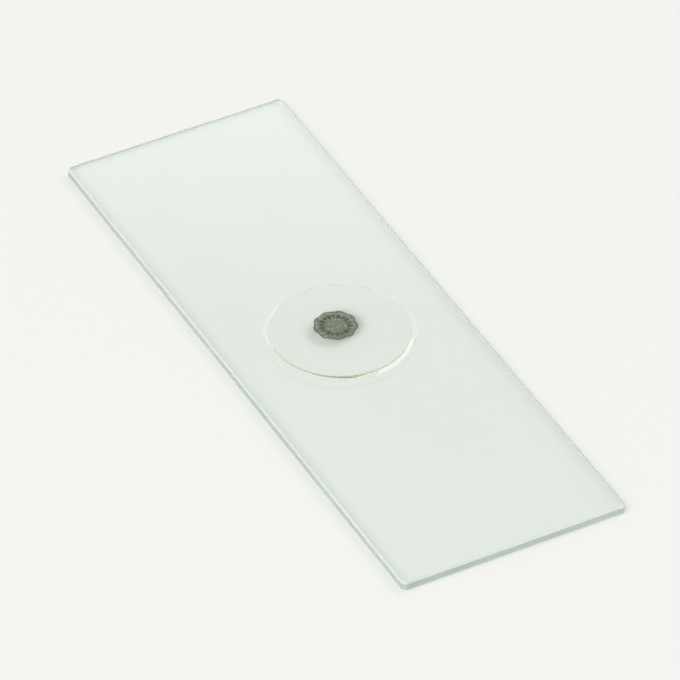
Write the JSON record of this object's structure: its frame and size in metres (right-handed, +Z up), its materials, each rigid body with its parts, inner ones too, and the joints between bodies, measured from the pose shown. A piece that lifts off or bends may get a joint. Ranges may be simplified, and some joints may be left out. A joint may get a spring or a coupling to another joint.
{
  "type": "microscope slide",
  "caption": "Prepared microscope slide: a clear glass plate with ground, green-tinted edges, carrying a stained stem section in resin under a round cover glass.",
  "frame": {"origin": "middle of the slide glass's underside", "axes": "+Y along the slide's length, +X across it, +Z up through the cover glass"},
  "size_m": [0.026, 0.076, 0.0014],
  "materials": {
    "slide_glass": "polished faces, ground edges",
    "mounting_resin": "clear set resin",
    "stained_tissue": "stained dark grey-green",
    "cover_glass": "polished"
  },
  "bodies": {
    "root": {"slide_glass": "slide_glass", "mounting_medium": "mounting_resin", "specimen_section": "stained_tissue", "cover_glass": "cover_glass"}
  },
  "joints": []
}
